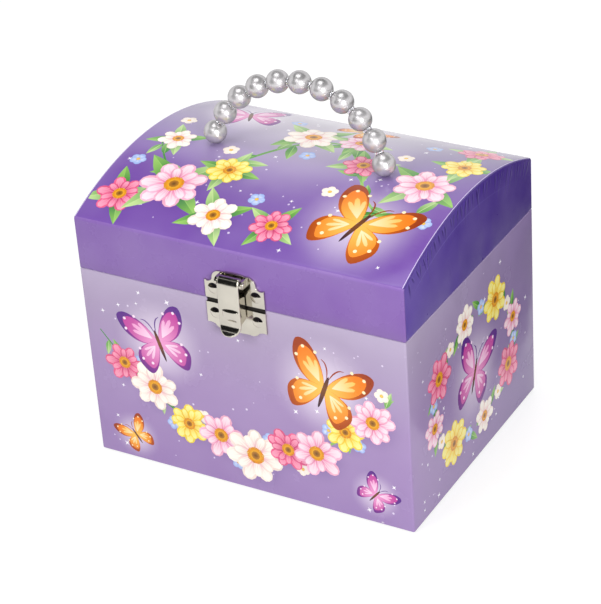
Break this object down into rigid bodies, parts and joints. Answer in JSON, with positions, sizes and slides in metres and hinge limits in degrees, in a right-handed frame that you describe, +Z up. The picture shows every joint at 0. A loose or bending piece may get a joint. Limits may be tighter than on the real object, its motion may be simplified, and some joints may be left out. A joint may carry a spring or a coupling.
{
  "type": "musical jewellery box",
  "caption": "Jewellery box with domed hinged lid, bead handle and front catch; a wind-up movement turns a dancer on the inner deck.",
  "frame": {"origin": "middle of the felt underside, on the surface that the box stands on", "axes": "+Z up, -Y towards the front with the catch, +X to the right seen from the front"},
  "size_m": [0.16, 0.1498, 0.174],
  "materials": {
    "board": "plain grey board",
    "printed_paper": "laminated printed paper, glossy",
    "felt": "felt",
    "flock": "flocked lining",
    "satin": "satin over foam",
    "nickel": "nickel plate, bright",
    "mirror_glass": "silvered",
    "pearl": "pearl coat",
    "clear_bead": "clear",
    "cord": "twisted cord",
    "zinc": "zinc casting",
    "steel": "bright steel",
    "brass": "turned",
    "nylon": "moulded",
    "doll_plastic": "moulded and painted",
    "tulle": "stiff tulle"
  },
  "bodies": {
    "box": {"front_panel": "board", "back_panel": "board", "right_panel": "board", "left_panel": "board", "bottom_panel": "board", "base_felt": "felt", "body_wrap": "printed_paper", "tray_lining": "flock", "deck_riser": "board", "deck_board": "board", "deck_lining": "flock", "tray_divider": "flock", "ring_roll_right_1": "satin", "ring_roll_right_2": "satin", "ring_roll_right_3": "satin", "ring_roll_left_1": "satin", "ring_roll_left_2": "satin", "ring_roll_left_3": "satin", "hinge_leaves_body": "nickel", "hinge_pins": "nickel", "hinge_screws_body": "nickel", "catch_lower_plate": "nickel", "movement_frame": "zinc", "movement_screws": "steel", "comb": "steel", "spring_drum": "zinc", "mainspring": "steel", "dancer_bush": "nylon", "stop_spring": "steel"},
    "lid": {"lid_front_rail": "board", "lid_back_rail": "board", "lid_right_end": "board", "lid_left_end": "board", "lid_top": "board", "lid_wrap": "printed_paper", "mirror_board": "board", "mirror": "mirror_glass", "hinge_leaves_lid": "nickel", "hinge_screws_lid": "nickel", "catch_upper_plate": "nickel", "catch_pin": "nickel", "handle_crimps": "nickel"},
    "hasp": {"catch_hasp": "nickel"},
    "handle": {"handle_pearls": "pearl", "handle_spacers": "clear_bead", "handle_cord": "cord"},
    "drive": {"winding_arbor": "steel", "crown_wheel": "brass", "winding_key": "nickel"},
    "cylinder": {"pin_cylinder": "brass", "cylinder_arbor": "brass"},
    "fly": {"fly_arbor": "brass", "fly_fan": "nylon"},
    "dancer": {"dancer_spindle": "steel", "dancer_cup": "nylon", "dancer_spring": "steel", "dancer_figure": "doll_plastic", "dancer_skirt": "tulle"},
    "stop": {"stop_rod": "steel"}
  },
  "joints": [
    {"name": "lid_hinge", "type": "hinge", "parent": "box", "child": "lid", "pos_m": [0, 0.0647, 0.0957], "axis": [-1, 0, 0], "range_deg": [0, 100]},
    {"name": "hasp_hinge", "type": "hinge", "parent": "lid", "child": "hasp", "pos_m": [0, -0.0664, 0.1083], "axis": [-1, 0, 0], "range_deg": [0, 120]},
    {"name": "handle_tilt", "type": "hinge", "parent": "lid", "child": "handle", "pos_m": [0, 0, 0.13992], "axis": [-1, 0, 0], "range_deg": [-100, 80]},
    {"name": "key_wind", "type": "hinge", "parent": "box", "child": "drive", "pos_m": [0, 0, 0.02], "axis": [0, 1, 0], "range_deg": [0, 1170]},
    {"name": "cylinder_spin", "type": "hinge", "parent": "box", "child": "cylinder", "pos_m": [0, 0.04137, 0.02], "axis": [1, 0, 0], "range_deg": [-4680, 0]},
    {"name": "fly_spin", "type": "hinge", "parent": "box", "child": "fly", "pos_m": [0, 0.04137, 0.012], "axis": [1, 0, 0], "range_deg": [0, 14040]},
    {"name": "dancer_spin", "type": "hinge", "parent": "box", "child": "dancer", "pos_m": [0, 0.04137, 0], "axis": [0, 0, 1], "range_deg": [-4680, 0]},
    {"name": "stop_lift", "type": "slide", "parent": "box", "child": "stop", "axis": [0, 0, 1], "range_m": [0, 0.004], "deforming": ["stop_spring"]}
  ],
  "couplings": [
    {"joint": "cylinder_spin", "follows": "key_wind", "ratio": -4},
    {"joint": "dancer_spin", "follows": "key_wind", "ratio": -4},
    {"joint": "fly_spin", "follows": "key_wind", "ratio": 12},
    {"joint": "stop_lift", "follows": "lid_hinge", "m_per_rad": 0.0022916}
  ]
}
